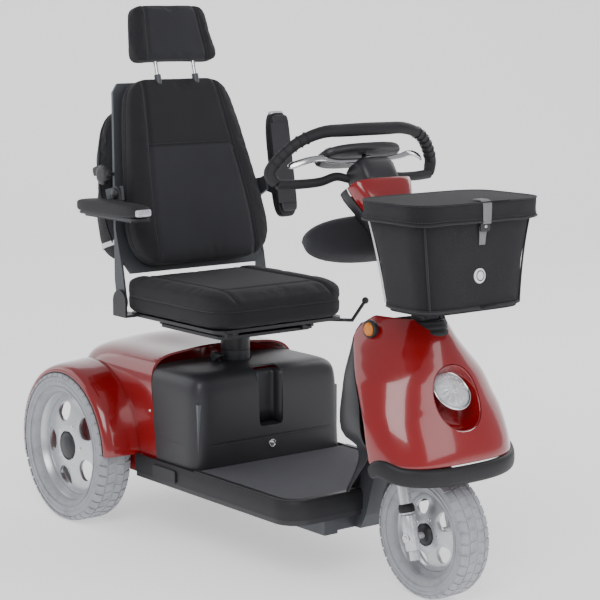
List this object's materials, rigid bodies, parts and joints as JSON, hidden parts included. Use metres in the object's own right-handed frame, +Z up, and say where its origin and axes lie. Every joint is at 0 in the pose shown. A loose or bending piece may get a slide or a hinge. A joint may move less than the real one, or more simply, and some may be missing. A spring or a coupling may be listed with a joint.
{
  "type": "mobility scooter",
  "caption": "Electric mobility scooter with a front steering wheel, two driven rear wheels, swivelling padded seat, tilting tiller and front basket.",
  "frame": {"origin": "middle of the bounding box on the ground", "axes": "+X forwards, +Y to the rider's left, +Z up"},
  "size_m": [1.46, 0.674, 1.3675],
  "materials": {
    "gloss_red": "gloss",
    "black_plastic": "satin",
    "dark_plastic": "satin",
    "grey_tyre": "matte",
    "silver_rim": "satin",
    "frame_steel": "satin",
    "white_steel": "gloss",
    "bare_steel": "satin",
    "gear_alloy": "matte",
    "upholstery": "matte",
    "bag_fabric": "matte",
    "soft_grip": "matte",
    "deck_mat": "matte",
    "amber": "gloss",
    "red_lens": "gloss",
    "lamp_bowl": "gloss",
    "clear_lens": "gloss",
    "battery_case": "satin"
  },
  "bodies": {
    "chassis": {"frame_rails": "frame_steel", "frame_crossbars": "frame_steel", "front_frame": "frame_steel", "floor_pan": "black_plastic", "floor_mat": "deck_mat", "side_reflectors": "amber", "battery_cover": "dark_plastic", "batteries": "battery_case", "rear_cover": "gloss_red", "fenders": "gloss_red", "rear_bumper": "black_plastic", "tail_lights": "red_lens", "transaxle": "gear_alloy", "drive_motor": "frame_steel", "post_socket": "frame_steel", "seat_post": "bare_steel", "front_fairing": "gloss_red", "fairing_bumper": "black_plastic", "leg_shield": "black_plastic", "headlight_bowl": "lamp_bowl", "headlight_lens": "clear_lens", "front_indicators": "amber"},
    "rear_wheel_left": {"rear_tyre_left": "grey_tyre", "rear_rim_left": "silver_rim"},
    "rear_wheel_right": {"rear_tyre_right": "grey_tyre", "rear_rim_right": "silver_rim"},
    "fork": {"fork_crown": "frame_steel", "fork_legs": "white_steel", "front_mudguard": "black_plastic", "tiller_yoke": "black_plastic"},
    "front_wheel": {"front_tyre": "grey_tyre", "front_rim": "silver_rim"},
    "tiller": {"tiller_tube": "frame_steel", "tiller_shell_front": "gloss_red", "tiller_shell_rear": "black_plastic", "tiller_head": "black_plastic", "console": "dark_plastic", "handlebar_top": "soft_grip", "handle_grips": "soft_grip", "handlebar_stays": "black_plastic", "basket_bracket": "frame_steel", "basket": "bag_fabric", "tiller_bag": "bag_fabric"},
    "throttle": {"throttle_lever": "bare_steel"},
    "speed_dial": {"speed_knob": "bare_steel"},
    "basket_cover": {"basket_lid": "bag_fabric"},
    "swivel": {"swivel_hub": "frame_steel"},
    "seat": {"seat_base": "frame_steel", "seat_cushion": "upholstery"},
    "swivel_release": {"seat_lever": "black_plastic"},
    "backrest": {"back_frame": "frame_steel", "back_cushion": "upholstery", "rear_bag": "bag_fabric"},
    "headrest": {"headrest_posts": "bare_steel", "headrest_cushion": "upholstery"},
    "armrest_right": {"armrest_pad_right": "soft_grip", "armrest_arm_right": "black_plastic"},
    "armrest_left": {"armrest_pad_left": "soft_grip", "armrest_arm_left": "black_plastic"},
    "lumbar_dial": {"side_knob": "black_plastic"}
  },
  "joints": [
    {"name": "rear_wheel_left_spin", "type": "hinge", "parent": "chassis", "child": "rear_wheel_left", "pos_m": [-0.53, 0.289, 0.2], "axis": [0, 1, 0], "continuous": true},
    {"name": "rear_wheel_right_spin", "type": "hinge", "parent": "chassis", "child": "rear_wheel_right", "pos_m": [-0.53, -0.289, 0.2], "axis": [0, 1, 0], "continuous": true},
    {"name": "steering", "type": "hinge", "parent": "chassis", "child": "fork", "pos_m": [0.539, 0, 0.649], "axis": [-0.0924, 0, 0.9957], "range_deg": [-40, 40]},
    {"name": "front_wheel_spin", "type": "hinge", "parent": "fork", "child": "front_wheel", "pos_m": [0.56701, 0, 0.15005], "axis": [0, 1, 0], "continuous": true},
    {"name": "tiller_tilt", "type": "hinge", "parent": "fork", "child": "tiller", "pos_m": [0.539, 0, 0.649], "axis": [0, 1, 0], "range_deg": [0, 25]},
    {"name": "throttle", "type": "hinge", "parent": "tiller", "child": "throttle", "pos_m": [0.32086, 0, 0.99142], "axis": [-0.5373, 0, 0.8434], "range_deg": [-6, 6], "stiffness_Nm_per_rad": 1},
    {"name": "speed_dial", "type": "hinge", "parent": "tiller", "child": "speed_dial", "pos_m": [0.28029, -0.066, 0.9881], "axis": [-0.5373, 0, 0.8434], "range_deg": [0, 270]},
    {"name": "basket_lid", "type": "hinge", "parent": "tiller", "child": "basket_cover", "pos_m": [0.495, 0, 0.933], "axis": [0, -1, 0], "range_deg": [0, 95]},
    {"name": "seat_swivel", "type": "hinge", "parent": "chassis", "child": "swivel", "pos_m": [-0.205, 0, 0.5], "axis": [0, 0, 1], "range_deg": [-90, 90]},
    {"name": "seat_slide", "type": "slide", "parent": "swivel", "child": "seat", "axis": [1, 0, 0], "range_m": [-0.06, 0.06]},
    {"name": "seat_lever", "type": "hinge", "parent": "seat", "child": "swivel_release", "pos_m": [-0.055, 0.175, 0.551], "axis": [1, 0, 0], "range_deg": [-12, 0], "stiffness_Nm_per_rad": 0.5, "springref_deg": 22.92},
    {"name": "back_recline", "type": "hinge", "parent": "seat", "child": "backrest", "pos_m": [-0.39, 0, 0.596], "axis": [0, -1, 0], "range_deg": [-10, 30]},
    {"name": "headrest_height", "type": "slide", "parent": "backrest", "child": "headrest", "axis": [-0.2706, 0, 0.9627], "range_m": [0, 0.05]},
    {"name": "armrest_right", "type": "hinge", "parent": "backrest", "child": "armrest_right", "pos_m": [-0.39498, -0.24, 0.8761], "axis": [0, -1, 0], "range_deg": [0, 100]},
    {"name": "armrest_left", "type": "hinge", "parent": "backrest", "child": "armrest_left", "pos_m": [-0.39498, 0.24, 0.8761], "axis": [0, -1, 0], "range_deg": [-100, 0]},
    {"name": "lumbar_dial", "type": "hinge", "parent": "backrest", "child": "lumbar_dial", "pos_m": [-0.45523, -0.24, 0.92045], "axis": [0, 1, 0], "range_deg": [0, 270]}
  ]
}
